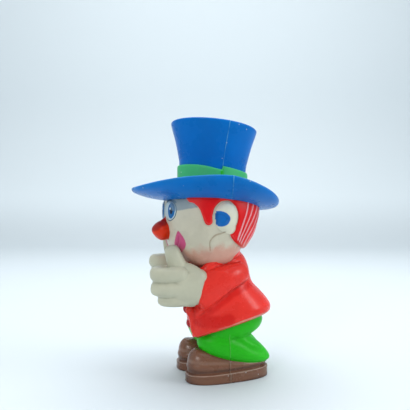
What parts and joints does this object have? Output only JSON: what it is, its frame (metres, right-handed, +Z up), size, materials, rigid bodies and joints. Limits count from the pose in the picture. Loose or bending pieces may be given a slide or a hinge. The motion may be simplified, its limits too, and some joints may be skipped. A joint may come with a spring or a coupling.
{
  "type": "clown figurine",
  "caption": "Small solid moulded toy clown in a wide-brimmed top hat, both thumbs raised, standing on flat shoe soles.",
  "frame": {"origin": "bottom centre of the bounding box: on the floor, below the middle of the hat brim", "axes": "+Z up the figure, its longest way; the face and the thumbs point to -Y; the figure's left hand is at +X"},
  "size_m": [0.0296, 0.0296, 0.0506],
  "materials": {
    "painted_vinyl": "satin paint on soft moulded vinyl: blue hat, green band and trousers, red hair and coat, cream skin and gloves, brown shoes"
  },
  "bodies": {
    "root": {"clown_figurine": "painted_vinyl"}
  },
  "joints": []
}
